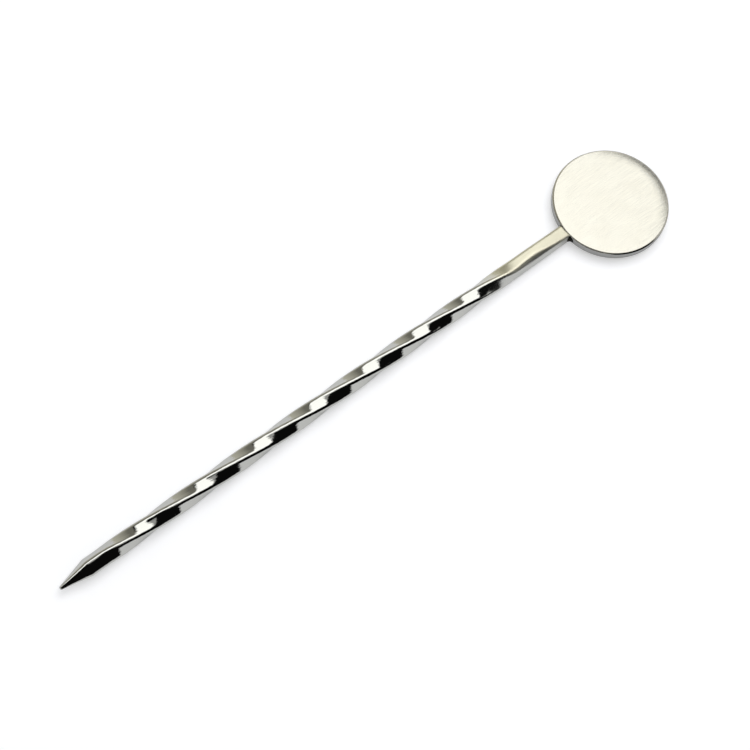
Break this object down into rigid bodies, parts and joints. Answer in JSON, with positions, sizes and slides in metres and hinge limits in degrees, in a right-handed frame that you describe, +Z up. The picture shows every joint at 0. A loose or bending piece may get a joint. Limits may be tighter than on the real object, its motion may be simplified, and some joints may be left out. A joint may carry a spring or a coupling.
{
  "type": "cocktail pick",
  "caption": "Metal cocktail pick lying flat: plain round disc head on a right-hand twisted square bar that ends in a ground four-sided point.",
  "frame": {"origin": "centre of the underside of the bounding box, with the pick lying flat", "axes": "+X along the stem from the point to the disc, +Z up, square to the disc's faces, +Y to the left seen from the point"},
  "size_m": [0.11, 0.018, 0.0029],
  "materials": {
    "brushed_stainless": "satin, finely brushed, warm white",
    "polished_stainless": "bright polish, satin at the neck",
    "silver_braze": "dull, dark"
  },
  "bodies": {
    "root": {"head_disc": "brushed_stainless", "twisted_stem": "polished_stainless", "braze_fillet": "silver_braze"}
  },
  "joints": []
}
